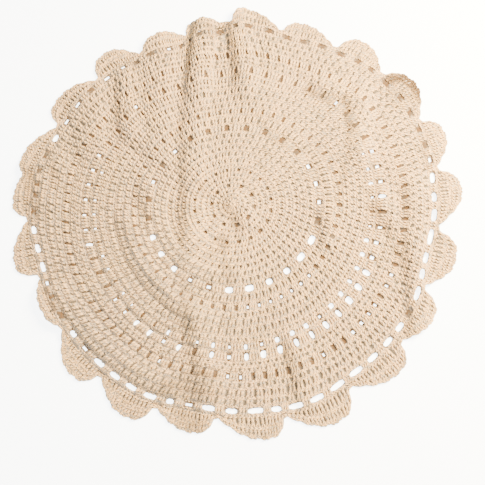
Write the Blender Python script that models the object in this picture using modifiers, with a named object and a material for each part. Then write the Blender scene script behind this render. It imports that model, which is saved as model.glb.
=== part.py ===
"""A round crocheted cotton doily, laid flat, with eyelet rounds and a scalloped edge.

The cloth is first drawn flat, as a worker counts it: rounds of stitches about the centre,
each joined to the round before it. Eyelets are left open between the stitches. The flat
pattern is then laid the way the cloth lies, pulled a little out of round, with soft pleats
gathered on one side, and given its thickness upwards from the surface it rests on.
"""
import math

import bmesh
import bpy

MM = 0.001

# Thickness of the worked cotton, from the table to the tops of the stitches.
THICKNESS = 2.0

# Mean radii that the laying-out rules refer to.
MESH_RADIUS = 73.2
CHAIN_RADIUS = 89.0
FAN_RADIUS = 123.5
FILET_RADIUS = 145.1
SLOT_RADIUS = 170.9
SHELL_BASE = 174.6

# The shell edge: worked direction of the first dip, in degrees from +X towards +Y, and how far
# along its width a shell reaches its crest. It rises gently and drops steeply, and the drop is
# over at a share of the way from the crest to the next dip.
FIRST_DIP = -9.7
SHELLS = 22
CREST_SHARE = 0.58
DROP_SHARE = 0.77
POINTS_PER_SHELL = 12

# Concentric rings of the flat pattern, from the centre outwards.
# radius: mm from the centre. repeats: pattern repeats in the round, two columns each.
# first: direction of the first eyelet. gap: share of a repeat that the eyelet column takes.
# open: the eyelet columns are left open out to the next ring.
RINGS = (
    {"radius": 8.4, "repeats": 10, "first": 30.5, "gap": 0.50, "open": False},
    {"radius": 20.0, "repeats": 10, "first": 30.5, "gap": 0.50, "open": False},
    {"radius": 34.0, "repeats": 27, "first": 1.1, "gap": 0.50, "open": False},
    {"radius": 52.0, "repeats": 27, "first": 1.1, "gap": 0.50, "open": False},
    {"radius": 70.2, "repeats": 27, "first": 1.1, "gap": 0.53, "open": True},
    {"radius": 76.3, "repeats": 27, "first": 1.1, "gap": 0.53, "open": False},
    {"radius": 86.0, "repeats": 58, "first": 2.0, "gap": 0.42, "open": False},
    {"radius": 101.0, "repeats": 58, "first": 2.0, "gap": 0.42, "open": False},
    {"radius": 116.6, "repeats": 58, "first": 2.0, "gap": 0.48, "open": True},
    {"radius": 121.0, "repeats": 58, "first": 2.0, "gap": 0.42, "open": False},
    {"radius": 124.6, "repeats": 58, "first": 2.0, "gap": 0.42, "open": True},
    {"radius": 131.9, "repeats": 58, "first": 2.0, "gap": 0.42, "open": False},
    {"radius": 142.0, "repeats": 95, "first": 0.2, "gap": 0.44, "open": True},
    {"radius": 148.4, "repeats": 95, "first": 0.2, "gap": 0.44, "open": False},
    {"radius": 158.0, "repeats": 66, "first": -6.97, "gap": 0.60, "open": False},
    {"radius": 168.0, "repeats": 66, "first": -6.97, "gap": 0.70, "open": True},
    {"radius": 173.6, "repeats": 66, "first": -6.97, "gap": 0.70, "open": False},
)

# Rings of the shell edge, as shares of the way from the slot round to the scalloped rim.
SHELL_RINGS = (0.0, 0.5, 1.0)

# The scalloped rim as it lies, a row for each shell. dip and depth: direction in degrees and
# distance in mm of the notch that the shell starts from. crest and reach: the same for its tip.
RIM = (
    {"dip": -7.5, "depth": 172.5, "crest": 2, "reach": 192.0},
    {"dip": 10, "depth": 176.0, "crest": 18, "reach": 192.0},
    {"dip": 25, "depth": 178.0, "crest": 34, "reach": 192.0},
    {"dip": 43, "depth": 178.5, "crest": 51, "reach": 192.5},
    {"dip": 59, "depth": 174.5, "crest": 69, "reach": 185.5},
    {"dip": 76, "depth": 173.0, "crest": 87, "reach": 191.5},
    {"dip": 91, "depth": 178.5, "crest": 102, "reach": 184.5},
    {"dip": 105, "depth": 173.5, "crest": 112, "reach": 183.5},
    {"dip": 120, "depth": 174.0, "crest": 127.5, "reach": 195.0},
    {"dip": 135.5, "depth": 177.5, "crest": 146, "reach": 194.5},
    {"dip": 153.5, "depth": 179.5, "crest": 164, "reach": 197.0},
    {"dip": 170, "depth": 189.5, "crest": 175.5, "reach": 195.0},
    {"dip": 182.5, "depth": 180.0, "crest": 192.5, "reach": 194.0},
    {"dip": 200, "depth": 175.0, "crest": 208, "reach": 182.0},
    {"dip": 216.5, "depth": 175.5, "crest": 226, "reach": 193.5},
    {"dip": 233.5, "depth": 179.0, "crest": 243, "reach": 195.0},
    {"dip": 250.5, "depth": 179.0, "crest": 259.5, "reach": 190.5},
    {"dip": 266.5, "depth": 177.0, "crest": 278, "reach": 195.0},
    {"dip": 284, "depth": 181.0, "crest": 294, "reach": 198.5},
    {"dip": 302, "depth": 180.0, "crest": 312, "reach": 194.5},
    {"dip": 319.5, "depth": 179.5, "crest": 327, "reach": 190.0},
    {"dip": 335, "depth": 172.5, "crest": 343.5, "reach": 190.0},
)

# How far the cloth is pulled out (+) or drawn in (-) in each direction, in mm, at four rounds.
PULLS = (
    {"toward": 0, "chain": 1.6, "fan": -1.7, "filet": -0.5, "slot": -2.7},
    {"toward": 15, "chain": 3.1, "fan": -0.4, "filet": 0.8, "slot": 0.8},
    {"toward": 30, "chain": 2.9, "fan": 0.0, "filet": 2.4, "slot": 2.3},
    {"toward": 45, "chain": 1.7, "fan": 1.3, "filet": 3.4, "slot": 2.7},
    {"toward": 60, "chain": 2.0, "fan": 0.6, "filet": 0.0, "slot": -1.3},
    {"toward": 72, "chain": 1.7, "fan": -1.5, "filet": -0.7, "slot": -4.0},
    {"toward": 87, "chain": 0.6, "fan": 0.7, "filet": 0.0, "slot": 2.0},
    {"toward": 100, "chain": 0.3, "fan": -0.4, "filet": -1.0, "slot": -3.5},
    {"toward": 109, "chain": 0.0, "fan": -1.7, "filet": -3.4, "slot": -7.5},
    {"toward": 120, "chain": -0.8, "fan": -0.8, "filet": -2.9, "slot": -4.0},
    {"toward": 133, "chain": -1.7, "fan": 2.5, "filet": 0.0, "slot": 1.2},
    {"toward": 147, "chain": -2.5, "fan": -0.6, "filet": -2.4, "slot": 1.7},
    {"toward": 163, "chain": -1.7, "fan": 1.7, "filet": 2.4, "slot": 4.2},
    {"toward": 180, "chain": -3.4, "fan": 1.7, "filet": 0.4, "slot": 3.9},
    {"toward": 198, "chain": -3.8, "fan": -0.8, "filet": -0.5, "slot": -1.3},
    {"toward": 215, "chain": -4.2, "fan": -1.7, "filet": -1.7, "slot": -0.8},
    {"toward": 230, "chain": -3.8, "fan": 0.2, "filet": -2.8, "slot": 0.0},
    {"toward": 245, "chain": -1.7, "fan": 0.8, "filet": -1.7, "slot": 1.3},
    {"toward": 260, "chain": -0.4, "fan": 0.8, "filet": -3.2, "slot": -1.6},
    {"toward": 275, "chain": 0.0, "fan": 1.7, "filet": -0.2, "slot": 0.8},
    {"toward": 290, "chain": 0.3, "fan": 1.3, "filet": 1.9, "slot": 4.4},
    {"toward": 305, "chain": 0.3, "fan": 0.6, "filet": 1.7, "slot": 0.8},
    {"toward": 325, "chain": -0.4, "fan": -1.7, "filet": -0.2, "slot": 0.0},
    {"toward": 343, "chain": -0.7, "fan": -3.4, "filet": -1.5, "slot": -5.3},
)

# Soft folds that stand off the table. Each runs from a start to an end, in mm from the centre,
# spreads to its width on both sides and rises to its height along the middle.
FOLDS = (
    {"fold": "gathered pleat", "start": (-26, 188), "end": (-31, 112), "width": 17, "height": 7.5},
    {"fold": "long pleat", "start": (-32.5, 94), "end": (-34, -28), "width": 16, "height": 3.6},
    {"fold": "right of pleat", "start": (4, 190), "end": (11, 112), "width": 17, "height": 5.5},
    {"fold": "upper swell", "start": (34, 184), "end": (26, 96), "width": 26, "height": 2.6},
    {"fold": "left of pleat", "start": (-71, 170), "end": (-62, 72), "width": 25, "height": 4.5},
    {"fold": "outer pleat", "start": (-97, 130), "end": (-92, 72), "width": 15, "height": 3.8},
    {"fold": "outer left swell", "start": (-136, 116), "end": (-122, 60), "width": 24, "height": 4.0},
    {"fold": "slanted fold", "start": (-86, 68), "end": (-60, 44), "width": 13, "height": 2.2},
    {"fold": "left ridge", "start": (-74, 24), "end": (-70, -12), "width": 12, "height": 2.2},
    {"fold": "middle swell", "start": (2, -4), "end": (4, 10), "width": 52, "height": 2.6},
    {"fold": "middle knot", "start": (3, 4), "end": (14, -12), "width": 13, "height": 3.2},
    {"fold": "upper right swell", "start": (98, 52), "end": (103, 112), "width": 36, "height": 2.4},
    {"fold": "upper right ridge", "start": (112, 102), "end": (112, 40), "width": 15, "height": 3.6},
    {"fold": "curled shell", "start": (160, 104), "end": (152, 99), "width": 24, "height": 5.0},
    {"fold": "right rim curl", "start": (190, -4), "end": (176, -8), "width": 25, "height": 5.0},
    {"fold": "right ridge", "start": (153, 12), "end": (149, -108), "width": 15, "height": 4.5},
    {"fold": "inner right ridge", "start": (126, 4), "end": (137, -24), "width": 11, "height": 2.2},
    {"fold": "eyelet ridge", "start": (79, -6), "end": (82, -36), "width": 11, "height": 2.6},
    {"fold": "short lower ridge", "start": (50, -114), "end": (60, -162), "width": 15, "height": 3.2},
    {"fold": "long lower ridge", "start": (-26, -92), "end": (-19, -160), "width": 15, "height": 3.4},
    {"fold": "upper cluster ridge", "start": (76, 112), "end": (97, 101), "width": 11, "height": 2.6},
    {"fold": "left arc ridge", "start": (-91, -8), "end": (-78, -44), "width": 13, "height": 2.8},
    {"fold": "lower arc ridge", "start": (-69, -56), "end": (-32, -96), "width": 13, "height": 3.0},
    {"fold": "outer arc ridge", "start": (-145, -72), "end": (-116, -108), "width": 12, "height": 2.6},
    {"fold": "rim arc ridge", "start": (-107, -118), "end": (-49, -155), "width": 12, "height": 2.6},
    {"fold": "tucked shell", "start": (-163, -76), "end": (-148, -98), "width": 18, "height": 5.0},
    {"fold": "lapped shells", "start": (-186, 34), "end": (-158, 42), "width": 21, "height": 4.0},
)

# Deep creases between the pleats, where the cloth comes back down to the table.
CREASES = (
    {"crease": "right", "start": (-14, 186), "end": (-6, 118), "width": 8, "depth": 0.85},
    {"crease": "left upper", "start": (-43, 182), "end": (-48, 131), "width": 8, "depth": 0.85},
    {"crease": "left lower", "start": (-48, 131), "end": (-50, 62), "width": 9, "depth": 0.7},
    {"crease": "outer left", "start": (-112, 128), "end": (-108, 64), "width": 9, "depth": 0.85},
)

# Eyelets nearer than this to a crease's line, in mm, are held shut by it.
PINCH_REACH = 3.0


def bell(offset, width):
    """Smooth hump: 1 on the middle line, 0 and level from the width outwards."""
    share = min(abs(offset) / width, 1.0)
    return (1.0 - share * share) ** 2


def ease(value):
    """Share of a step from 0 to 1 that starts and ends level."""
    held = min(max(value, 0.0), 1.0)
    return held * held * (3.0 - 2.0 * held)


def around(rows, key, column, angle):
    """Value of a column at an angle, eased from one direction's row to the next."""
    turned = angle % 360.0
    last = rows[-1]
    low = {key: last[key] - 360.0, column: last[column]}
    for row in rows:
        if row[key] > turned:
            break
        low = row
    else:
        row = {key: rows[0][key] + 360.0, column: rows[0][column]}
    share = ease((turned - low[key]) / (row[key] - low[key]))
    return low[column] + (row[column] - low[column]) * share


def along(stops, value):
    """Eased value between (position, value) stops."""
    if value <= stops[0][0]:
        return stops[0][1]
    for (left, first), (right, second) in zip(stops, stops[1:]):
        if value <= right:
            return first + (second - first) * ease((value - left) / (right - left))
    return stops[-1][1]


def shell_at(worked):
    """The shell's row, the next shell's row, the share of the shell's width and whole turns made."""
    place = (worked - FIRST_DIP) * SHELLS / 360.0
    shell = math.floor(place)
    return RIM[shell % SHELLS], RIM[(shell + 1) % SHELLS], place - shell, shell // SHELLS


def rim_turn(worked):
    """Direction in which a worked direction of the rim lies, from the shells' dips and crests."""
    row, following, share, turns = shell_at(worked)
    end = following["dip"] if following["dip"] > row["dip"] else following["dip"] + 360.0
    if share < CREST_SHARE:
        lies = row["dip"] + (row["crest"] - row["dip"]) * share / CREST_SHARE
    else:
        past = (share - CREST_SHARE) / (1.0 - CREST_SHARE)
        lies = row["crest"] + (end - row["crest"]) * past
    return lies + 360.0 * turns


def rim_radius(worked):
    """Distance of the rim from the centre: each shell swells gently and ends in a steep drop."""
    row, following, share, _ = shell_at(worked)
    if share < CREST_SHARE:
        arch = math.sin(0.5 * math.pi * share / CREST_SHARE) ** 1.1
        return row["depth"] + (row["reach"] - row["depth"]) * arch
    past = (share - CREST_SHARE) / (1.0 - CREST_SHARE) / DROP_SHARE
    arch = math.sqrt(max(1.0 - past ** 3, 0.0))
    return following["depth"] + (row["reach"] - following["depth"]) * arch


def lie(radius, worked, shell_share):
    """Plan position in mm at which a point of the flat pattern lies."""
    freed = ease((radius - FAN_RADIUS) / (SHELL_BASE - FAN_RADIUS))
    angle = worked + freed * (rim_turn(worked) - worked)
    stops = [(MESH_RADIUS, 0.0)]
    for level, column in ((CHAIN_RADIUS, "chain"), (FAN_RADIUS, "fan"),
                          (FILET_RADIUS, "filet"), (SLOT_RADIUS, "slot")):
        stops.append((level, around(PULLS, "toward", column, angle)))
    distance = radius + along(stops, radius)
    if shell_share > 0.0:
        distance += (rim_radius(worked) - distance) * shell_share
    turn = math.radians(angle)
    return distance * math.cos(turn), distance * math.sin(turn)


def offset_from(row, x, y):
    """Distance of a plan point from the line that a fold or a crease runs along."""
    ax, ay = row["start"]
    bx, by = row["end"]
    run = (bx - ax, by - ay)
    share = ((x - ax) * run[0] + (y - ay) * run[1]) / (run[0] ** 2 + run[1] ** 2)
    share = min(max(share, 0.0), 1.0)
    return math.hypot(x - ax - share * run[0], y - ay - share * run[1])


def rise(x, y):
    """Height of the cloth's underside above the table, in mm."""
    height = 0.0
    for fold in FOLDS:
        height += fold["height"] * bell(offset_from(fold, x, y), fold["width"])
    for crease in CREASES:
        height *= 1.0 - crease["depth"] * bell(offset_from(crease, x, y), crease["width"])
    return height


def worked_ring(mesh, ring):
    """One ring of the flat pattern: a closed loop with an eyelet and a stitch column a repeat."""
    pitch = 360.0 / ring["repeats"]
    half_gap = 0.5 * ring["gap"] * pitch
    spots = []
    for repeat in range(ring["repeats"]):
        middle = ring["first"] + repeat * pitch
        spots.append((ring["radius"], middle - half_gap, 0.0))
        spots.append((ring["radius"], middle + half_gap, 0.0))
    return closed_loop(mesh, spots)


def shell_ring(mesh, share):
    """One ring of the shell edge, with its points crowded towards the notches."""
    pitch = 360.0 / SHELLS
    spots = []
    for shell in range(SHELLS):
        for point in range(POINTS_PER_SHELL):
            across = 0.5 - 0.5 * math.cos(math.pi * point / POINTS_PER_SHELL)
            worked = FIRST_DIP + (shell + across) * pitch
            spots.append((SHELL_BASE, worked, share))
    return closed_loop(mesh, spots)


def closed_loop(mesh, spots):
    """Sets the points of a ring into the flat pattern and remembers where each was worked."""
    radius_layer = mesh.verts.layers.float["radius"]
    worked_layer = mesh.verts.layers.float["worked"]
    share_layer = mesh.verts.layers.float["share"]
    verts = []
    for radius, worked, share in spots:
        turn = math.radians(worked)
        reach = (radius + 10.0 * share) * MM
        vert = mesh.verts.new((reach * math.cos(turn), reach * math.sin(turn), 0.0))
        vert[radius_layer] = radius
        vert[worked_layer] = worked
        vert[share_layer] = share
        verts.append(vert)
    return verts


def join_rings(mesh, inner, outer):
    """Works the band of cloth between two rings.

    Rings with the same columns are joined cell by cell. Otherwise the band is increased: its
    triangles step along whichever ring has the nearer next point.
    """
    if len(inner) == len(outer):
        corners = zip(inner[-1:] + inner[:-1], inner, outer, outer[-1:] + outer[:-1])
        return [mesh.faces.new(corner) for corner in corners]
    worked = mesh.verts.layers.float["worked"]
    start = min(range(len(outer)), key=lambda k: abs(outer[k][worked] - inner[0][worked]))
    outer = outer[start:] + outer[:start]
    inside = [vert[worked] for vert in inner] + [inner[0][worked] + 360.0]
    outside = [vert[worked] + (360.0 if vert[worked] < outer[0][worked] else 0.0) for vert in outer]
    outside.append(outer[0][worked] + 360.0)
    faces = []
    i = 0
    j = 0
    while i < len(inner) or j < len(outer):
        step_out = j < len(outer) and (i == len(inner) or outside[j + 1] < inside[i + 1])
        here = inner[i % len(inner)]
        there = outer[j % len(outer)]
        if step_out:
            j += 1
            faces.append(mesh.faces.new((here, there, outer[j % len(outer)])))
        else:
            i += 1
            faces.append(mesh.faces.new((here, there, inner[i % len(inner)])))
    return faces


def pinched(radius, worked):
    """Whether an eyelet worked here lies in a deep crease, which holds it shut."""
    x, y = lie(radius, worked, 0.0)
    return any(offset_from(crease, x, y) < PINCH_REACH for crease in CREASES)


def open_eyelets(mesh, faces, ring):
    """Leaves the eyelet columns of a band open, but for those that a deep crease pinches shut."""
    pitch = 360.0 / ring["repeats"]
    gaps = []
    for face in faces:
        middle = face.calc_center_median()
        worked = math.degrees(math.atan2(middle.y, middle.x))
        past_eyelet = (worked - ring["first"] + 0.5 * pitch) % pitch - 0.5 * pitch
        in_eyelet = abs(past_eyelet) < 0.5 * ring["gap"] * pitch
        if in_eyelet and not pinched(ring["radius"], worked - past_eyelet):
            gaps.append(face)
    bmesh.ops.delete(mesh, geom=gaps, context="FACES_ONLY")
    return len(gaps)


def flat_pattern():
    """The whole doily worked flat, one face thick."""
    mesh = bmesh.new()
    for name in ("radius", "worked", "share"):
        mesh.verts.layers.float.new(name)
    loops = [worked_ring(mesh, ring) for ring in RINGS]
    shells = [shell_ring(mesh, share) for share in SHELL_RINGS]
    mesh.faces.new(loops[0])
    opened = 0
    for ring, inner, outer in zip(RINGS, loops, loops[1:] + shells[:1]):
        band = join_rings(mesh, inner, outer)
        if ring["open"]:
            opened += open_eyelets(mesh, band, ring)
    for inner, outer in zip(shells, shells[1:]):
        join_rings(mesh, inner, outer)
    print("eyelets left open:", opened)
    return mesh


def lay_out(mesh):
    """Moves the flat pattern to where the cloth lies and centres it over the origin."""
    radius_layer = mesh.verts.layers.float["radius"]
    worked_layer = mesh.verts.layers.float["worked"]
    share_layer = mesh.verts.layers.float["share"]
    for vert in mesh.verts:
        x, y = lie(vert[radius_layer], vert[worked_layer], vert[share_layer])
        vert.co = (x * MM, y * MM, rise(x, y) * MM)
    wide = [vert.co.x for vert in mesh.verts]
    deep = [vert.co.y for vert in mesh.verts]
    middle = (0.5 * (min(wide) + max(wide)), 0.5 * (min(deep) + max(deep)), 0.0)
    bmesh.ops.translate(mesh, verts=mesh.verts[:], vec=[-value for value in middle])
    bmesh.ops.recalc_face_normals(mesh, faces=mesh.faces[:])
    if sum(face.normal.z for face in mesh.faces) < 0.0:
        bmesh.ops.reverse_faces(mesh, faces=mesh.faces[:])
    print("centre of the rounds, mm:", [round(-value / MM, 2) for value in middle])


def cotton_material():
    """Unbleached cotton yarn: matt and pale cream."""
    material = bpy.data.materials.new("cream_cotton")
    material.use_nodes = True
    shader = material.node_tree.nodes["Principled BSDF"]
    shader.inputs["Base Color"].default_value = (0.83, 0.72, 0.57, 1.0)
    shader.inputs["Roughness"].default_value = 0.9
    shader.inputs["Metallic"].default_value = 0.0
    return material


def main():
    for item in list(bpy.data.objects):
        bpy.data.objects.remove(item, do_unlink=True)
    collection = bpy.data.collections.new("lace_doily")
    bpy.context.scene.collection.children.link(collection)

    mesh = flat_pattern()
    lay_out(mesh)
    data = bpy.data.meshes.new("doily")
    mesh.to_mesh(data)
    mesh.free()

    doily = bpy.data.objects.new("doily", data)
    collection.objects.link(doily)
    data.materials.append(cotton_material())
    data.shade_smooth()
    body = doily.modifiers.new("thickness", "SOLIDIFY")
    body.thickness = THICKNESS * MM
    body.offset = 1.0
    body.use_rim = True
    body.use_even_offset = False


main()
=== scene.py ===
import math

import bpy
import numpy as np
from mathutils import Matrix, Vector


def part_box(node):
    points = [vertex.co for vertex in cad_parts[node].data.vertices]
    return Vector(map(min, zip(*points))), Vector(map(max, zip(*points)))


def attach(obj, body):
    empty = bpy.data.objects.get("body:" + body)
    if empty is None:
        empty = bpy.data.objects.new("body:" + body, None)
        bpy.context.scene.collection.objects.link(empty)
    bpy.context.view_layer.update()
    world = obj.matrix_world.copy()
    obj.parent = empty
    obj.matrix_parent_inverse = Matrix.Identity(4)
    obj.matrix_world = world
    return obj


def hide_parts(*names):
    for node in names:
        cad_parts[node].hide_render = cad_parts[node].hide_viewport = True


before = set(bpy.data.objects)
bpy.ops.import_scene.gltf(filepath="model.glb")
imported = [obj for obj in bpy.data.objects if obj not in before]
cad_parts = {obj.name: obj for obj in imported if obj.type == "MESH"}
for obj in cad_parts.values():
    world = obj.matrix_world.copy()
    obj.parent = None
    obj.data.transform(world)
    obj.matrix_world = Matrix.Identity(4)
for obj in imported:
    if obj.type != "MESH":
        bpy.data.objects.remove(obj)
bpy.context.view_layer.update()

# %% [markdown]
# # A crocheted doily, laid flat
#
# The real thing is one cotton yarn worked round and round a centre with a hook. Each round is a
# ring of upright posts, finished by a braid of top loops that the next round is worked into. A
# picture of lace on a flat disc would look right from one side only, and a cloth simulation
# knows nothing of stitches. So this script works the doily as a crocheter does: it strings the
# stitches into rounds on a flat chart, then lays that chart out with its pulls, pleats and
# scalloped edge, and gives each strand its thickness at the end.

MM = 0.001
NODE = "doily"
low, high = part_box(NODE)
print("the solid to dress, mm:", [round((b - a) / MM, 1) for a, b in zip(low, high)])

# %% [markdown]
# ## Where the cloth lies
#
# The chart's points are a radius, a direction and a height. Their real place on the table comes
# from the same few rules as the solid's: the shell edge turns and stretches to its own tips and
# notches, four rounds are pulled in or out of the circle, and folds lift the cloth. The tables
# below are short, and everything between their rows is eased, so that no kink shows.

# %% Radii of the chart
# The plan place of the rounds' centre, then the radii of the rounds that the rules speak of, in mm.
CENTRE = (1.43, 1.01)
MESH_RADIUS = 73.2
CHAIN_RADIUS = 89.0
FAN_RADIUS = 123.5
FILET_RADIUS = 145.1
SLOT_RADIUS = 170.9
SHELL_BASE = 174.6
SHELL_DEEP = 18.0
RIM_RADIUS = SHELL_BASE + SHELL_DEEP

print("radius of the chart, mm:", round(RIM_RADIUS, 1))

# %% [markdown]
# ## The scalloped rim
#
# No two shells of the real edge are alike, because crochet gives and is patted out by hand. A
# wave of equal lobes would look machine-cut, so each shell has a row with its own notch and tip.
# Between them its outline climbs slowly and drops fast, because the shells all lean one way.

# %% Shells of the rim
SHELLS = 22
FIRST_DIP = -9.7
# The share of a shell's width where its tip is, the power of its climb, and the share of the rest
# over which it drops.
CREST_SHARE = 0.58
CLIMB_POWER = 1.1
DROP_SHARE = 0.77

# A row for each shell: the direction and distance of the notch that it starts from, then the
# direction and distance of its tip.
RIM = np.array((
    (-7.5, 172.5, 2, 192), (10, 176, 18, 192), (25, 178, 34, 192), (43, 178.5, 51, 192.5),
    (59, 174.5, 69, 185.5), (76, 173, 87, 191.5), (91, 178.5, 102, 184.5),
    (105, 173.5, 112, 183.5), (120, 174, 127.5, 195), (135.5, 177.5, 146, 194.5),
    (153.5, 179.5, 164, 197), (170, 189.5, 175.5, 195), (182.5, 180, 192.5, 194),
    (200, 175, 208, 182), (216.5, 175.5, 226, 193.5), (233.5, 179, 243, 195),
    (250.5, 179, 259.5, 190.5), (266.5, 177, 278, 195), (284, 181, 294, 198.5),
    (302, 180, 312, 194.5), (319.5, 179.5, 327, 190), (335, 172.5, 343.5, 190),
))
DIP, DEPTH, CREST, REACH = RIM.T


def rim_at(worked):
    """Where the rim's point of a worked direction lies: its direction, and its distance in mm.

    A shell's width is worked evenly. Up to CREST_SHARE it climbs from notch to tip by a quarter
    sine to the power CLIMB_POWER, and then it drops to the next notch by the root of 1 - past^3,
    past being the share of DROP_SHARE of what is left.
    """
    place = (worked - FIRST_DIP) * SHELLS / 360.0
    shell = np.floor(place).astype(int)
    share = place - shell
    here, following = shell % SHELLS, (shell + 1) % SHELLS
    end = DIP[following] + 360.0 * (DIP[following] < DIP[here])
    up = np.minimum(share / CREST_SHARE, 1.0)
    past = np.clip((share - CREST_SHARE) / (1.0 - CREST_SHARE), 0.0, 1.0)
    direction = DIP[here] + (CREST[here] - DIP[here]) * up + (end - CREST[here]) * past
    past = np.minimum(past / DROP_SHARE, 1.0)
    quarter = np.sin(0.5 * np.pi * up) ** CLIMB_POWER
    climb = DEPTH[here] + (REACH[here] - DEPTH[here]) * quarter
    drop = DEPTH[following] + (REACH[here] - DEPTH[following]) * np.sqrt(1.0 - past ** 3)
    distance = np.where(share < CREST_SHARE, climb, drop)
    return direction + 360.0 * (shell // SHELLS), distance


print("shells:", len(RIM), "with tips at", REACH.min(), "to", REACH.max(), "mm")

# %% [markdown]
# ## Pulls
#
# The rounds aren't true circles. Where the cloth is drawn in they dip towards the centre, and
# elsewhere they spread. A lattice could bend a finished mesh like this, but the strands' thickness
# with it, so here the pulls move the chart's points before any strand is thick.

# %% Pulls on the rounds
# How far the cloth is pulled out or drawn in: a direction, then mm at the chain, fan, filet and
# slot rounds.
PULLS = np.array((
    (0, 1.6, -1.7, -0.5, -2.7), (15, 3.1, -0.4, 0.8, 0.8), (30, 2.9, 0.0, 2.4, 2.3),
    (45, 1.7, 1.3, 3.4, 2.7), (60, 2.0, 0.6, 0.0, -1.3), (72, 1.7, -1.5, -0.7, -4.0),
    (87, 0.6, 0.7, 0.0, 2.0), (100, 0.3, -0.4, -1.0, -3.5), (109, 0.0, -1.7, -3.4, -7.5),
    (120, -0.8, -0.8, -2.9, -4.0), (133, -1.7, 2.5, 0.0, 1.2), (147, -2.5, -0.6, -2.4, 1.7),
    (163, -1.7, 1.7, 2.4, 4.2), (180, -3.4, 1.7, 0.4, 3.9), (198, -3.8, -0.8, -0.5, -1.3),
    (215, -4.2, -1.7, -1.7, -0.8), (230, -3.8, 0.2, -2.8, 0.0), (245, -1.7, 0.8, -1.7, 1.3),
    (260, -0.4, 0.8, -3.2, -1.6), (275, 0.0, 1.7, -0.2, 0.8), (290, 0.3, 1.3, 1.9, 4.4),
    (305, 0.3, 0.6, 1.7, 0.8), (325, -0.4, -1.7, -0.2, 0.0), (343, -0.7, -3.4, -1.5, -5.3),
))

# Small lobes along the rim of each shell, from the stitches that its last round is worked in, and
# how far past the rim a strand may lie, as a share of the shell's depth.
LOBES = 6
LOBE_DEEP = 1.1
PAST_RIM = 1.2


def ease(value):
    """Share of a step that starts and ends level: 3 v^2 - 2 v^3, held between 0 and 1."""
    held = np.clip(value, 0.0, 1.0)
    return held * held * (3.0 - 2.0 * held)


def all_round(table, column, direction):
    """A column of a table at a direction, eased from one row to the next, all the way round."""
    toward = np.concatenate((table[-1:, 0] - 360.0, table[:, 0], table[:1, 0] + 360.0))
    value = np.concatenate((table[-1:, column], table[:, column], table[:1, column]))
    turned = direction % 360.0
    row = np.clip(np.searchsorted(toward, turned, side="right") - 1, 0, len(toward) - 2)
    share = ease((turned - toward[row]) / (toward[row + 1] - toward[row]))
    return value[row] + (value[row + 1] - value[row]) * share


def plan_of(rho, worked):
    """Plan place in mm, about the rounds' centre, of a point charted at radius rho, direction worked.

    The direction is freed towards the rim's own over the outer rounds. The distance is rho plus
    the eased pulls, and in the shells it goes on to the rim in the share that rho has reached. The
    rim's distance there is less LOBE_DEEP x |cos|^3, the lobes.
    """
    freed = ease((rho - FAN_RADIUS) / (SHELL_BASE - FAN_RADIUS))
    rim_direction, rim_distance = rim_at(worked)
    direction = worked + freed * (rim_direction - worked)
    levels = (MESH_RADIUS, CHAIN_RADIUS, FAN_RADIUS, FILET_RADIUS, SLOT_RADIUS)
    pulls = [np.zeros_like(direction)]
    pulls += [all_round(PULLS, column, direction) for column in (1, 2, 3, 4)]
    pulled = pulls[0]
    for start, end, before, after in zip(levels, levels[1:], pulls, pulls[1:]):
        step = before + (after - before) * ease((rho - start) / (end - start))
        pulled = np.where(rho > start, step, pulled)
    distance = np.minimum(rho, SHELL_BASE) + pulled
    out = np.clip((rho - SHELL_BASE) / SHELL_DEEP, 0.0, PAST_RIM)
    lobe = np.abs(np.cos(np.pi * LOBES * (worked - FIRST_DIP) * SHELLS / 360.0))
    distance += (rim_distance - LOBE_DEEP * lobe ** 3 - distance) * out
    turn = np.radians(direction)
    return distance * np.cos(turn), distance * np.sin(turn)


print("pulls, mm:", PULLS[:, 1:].min(), "to", PULLS[:, 1:].max())

# %% [markdown]
# ## Folds and creases
#
# Cotton lace laid down by hand keeps soft folds: two long pleats at the top, smaller ones beside
# them, and swells where the rounds hold too much yarn. A cloth simulation would fold elsewhere, and
# these have to lie where the real ones do. So each fold is a smooth hump along a line, and a crease
# is such a hump that presses the folds down.

# %% Folds
# Soft folds: start x and y, end x and y, spread to both sides and height, all in mm.
FOLDS = np.array((
    (-26, 188, -31, 112, 17, 7.5), (-32.5, 94, -34, -28, 16, 3.6), (4, 190, 11, 112, 17, 5.5),
    (34, 184, 26, 96, 26, 2.6), (-71, 170, -62, 72, 25, 4.5), (-97, 130, -92, 72, 15, 3.8),
    (-136, 116, -122, 60, 24, 4), (-86, 68, -60, 44, 13, 2.2), (-74, 24, -70, -12, 12, 2.2),
    (2, -4, 4, 10, 52, 2.6), (3, 4, 14, -12, 13, 3.2), (98, 52, 103, 112, 36, 2.4),
    (112, 102, 112, 40, 15, 3.6), (160, 104, 152, 99, 24, 5), (190, -4, 176, -8, 25, 5),
    (153, 12, 149, -108, 15, 4.5), (126, 4, 137, -24, 11, 2.2), (79, -6, 82, -36, 11, 2.6),
    (50, -114, 60, -162, 15, 3.2), (-26, -92, -19, -160, 15, 3.4), (76, 112, 97, 101, 11, 2.6),
    (-91, -8, -78, -44, 13, 2.8), (-69, -56, -32, -96, 13, 3), (-145, -72, -116, -108, 12, 2.6),
    (-107, -118, -49, -155, 12, 2.6), (-163, -76, -148, -98, 18, 5), (-186, 34, -158, 42, 21, 4),
))

# Creases that bring the cloth back down: start, end, spread and depth, 1 being down to the table.
CREASES = np.array((
    (-14, 186, -6, 118, 8, 0.85), (-43, 182, -48, 131, 8, 0.85), (-48, 131, -50, 62, 9, 0.7),
    (-112, 128, -108, 64, 9, 0.85),
))


def bell(offset, width):
    """Smooth hump (1 - (offset / width)^2)^2: 1 on the middle line and 0 from the width outwards."""
    share = np.minimum(np.abs(offset) / width, 1.0)
    return (1.0 - share * share) ** 2


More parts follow.
